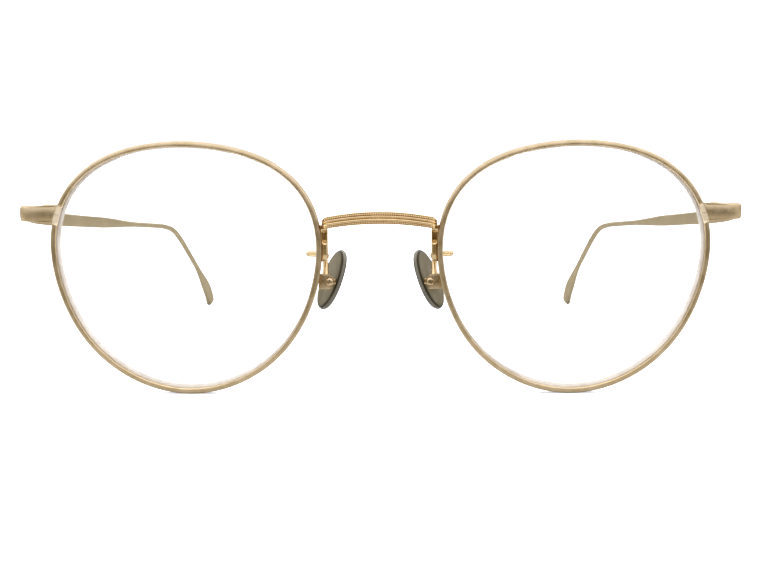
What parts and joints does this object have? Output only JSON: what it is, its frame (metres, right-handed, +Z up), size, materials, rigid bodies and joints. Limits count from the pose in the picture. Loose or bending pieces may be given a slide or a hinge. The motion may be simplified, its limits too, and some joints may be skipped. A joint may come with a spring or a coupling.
{
  "type": "eyeglasses",
  "caption": "Round metal-framed spectacles with clear lenses, an arched bridge, adjustable nose pads and folding temples.",
  "frame": {"origin": "middle of the footprint of the open glasses, on the surface they stand on", "axes": "+X to the wearer's left, -Y out of the front of the glasses, +Y along the temples to their tips, +Z up"},
  "size_m": [0.1348, 0.1416, 0.0471],
  "materials": {
    "brushed_gold": "satin champagne-gold titanium, finely brushed",
    "polished_gold": "bright champagne-gold titanium, burnished",
    "fastener_gold": "small plated screws and washers",
    "clear_lens": "clear polished demonstration lens",
    "smoked_pad": "glossy smoke-grey nose pad"
  },
  "bodies": {
    "front": {"bridge": "polished_gold", "rim_left": "brushed_gold", "lens_left": "clear_lens", "bridge_leg_left": "polished_gold", "endpiece_left": "brushed_gold", "rim_lock_upper_left": "brushed_gold", "rim_lock_lower_left": "brushed_gold", "rim_lock_screw_left": "fastener_gold", "hinge_front_left": "brushed_gold", "hinge_screw_left": "fastener_gold", "pad_arm_left": "polished_gold", "pad_box_left": "brushed_gold", "pad_screw_left": "fastener_gold", "rim_right": "brushed_gold", "lens_right": "clear_lens", "bridge_leg_right": "polished_gold", "endpiece_right": "brushed_gold", "rim_lock_upper_right": "brushed_gold", "rim_lock_lower_right": "brushed_gold", "rim_lock_screw_right": "fastener_gold", "hinge_front_right": "brushed_gold", "hinge_screw_right": "fastener_gold", "pad_arm_right": "polished_gold", "pad_box_right": "brushed_gold", "pad_screw_right": "fastener_gold"},
    "temple_arm_left": {"temple_left": "brushed_gold", "hinge_temple_left": "brushed_gold", "hinge_washer_upper_left": "fastener_gold", "hinge_washer_lower_left": "fastener_gold"},
    "temple_arm_right": {"temple_right": "brushed_gold", "hinge_temple_right": "brushed_gold", "hinge_washer_upper_right": "fastener_gold", "hinge_washer_lower_right": "fastener_gold"},
    "pad_unit_left": {"nose_pad_left": "smoked_pad", "pad_stem_left": "polished_gold"},
    "pad_unit_right": {"nose_pad_right": "smoked_pad", "pad_stem_right": "polished_gold"}
  },
  "joints": [
    {"name": "temple_fold_left", "type": "hinge", "parent": "front", "child": "temple_arm_left", "pos_m": [0.06495, -0.06327, 0.0337], "axis": [0, 0.0924, 0.9957], "range_deg": [0, 80.4]},
    {"name": "temple_fold_right", "type": "hinge", "parent": "front", "child": "temple_arm_right", "pos_m": [-0.06495, -0.06327, 0.0337], "axis": [0, -0.0924, -0.9957], "range_deg": [0, 76.4]},
    {"name": "pad_rock_left", "type": "hinge", "parent": "front", "child": "pad_unit_left", "pos_m": [0.0095, -0.06477, 0.0208], "axis": [0, 1, 0], "range_deg": [-10, 10]},
    {"name": "pad_rock_right", "type": "hinge", "parent": "front", "child": "pad_unit_right", "pos_m": [-0.0095, -0.06477, 0.0208], "axis": [0, 1, 0], "range_deg": [-10, 10]}
  ]
}
